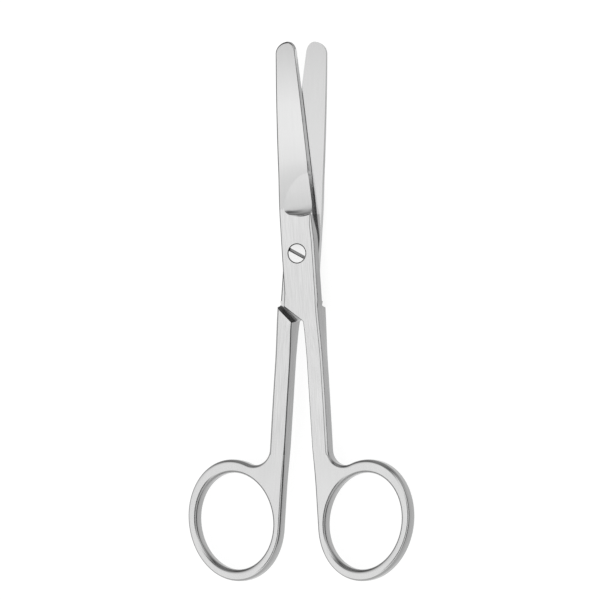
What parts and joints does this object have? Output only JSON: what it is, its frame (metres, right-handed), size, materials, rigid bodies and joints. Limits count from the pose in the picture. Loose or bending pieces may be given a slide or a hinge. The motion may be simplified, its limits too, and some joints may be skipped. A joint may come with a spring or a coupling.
{
  "type": "surgical scissors",
  "caption": "Straight operating scissors with blunt rounded tips, a slotted screw lock and oval finger rings.",
  "frame": {"origin": "centre of the bounding box in plan, at the underside of the lock", "axes": "+Y towards the tips, +Z out of the face with the screw head, +X towards the ring of the upper half"},
  "size_m": [0.065, 0.145, 0.0064],
  "materials": {
    "satin_stainless": "satin, ground and glass beaded",
    "bright_stainless": "fine turned"
  },
  "bodies": {
    "lower": {"lower_half": "satin_stainless", "pivot_screw": "bright_stainless"},
    "upper": {"upper_half": "satin_stainless"}
  },
  "joints": [
    {"name": "pivot", "type": "hinge", "parent": "lower", "child": "upper", "pos_m": [0, 0.01558, 0.0032], "axis": [0, 0, 1], "range_deg": [-8.2, 125]}
  ]
}
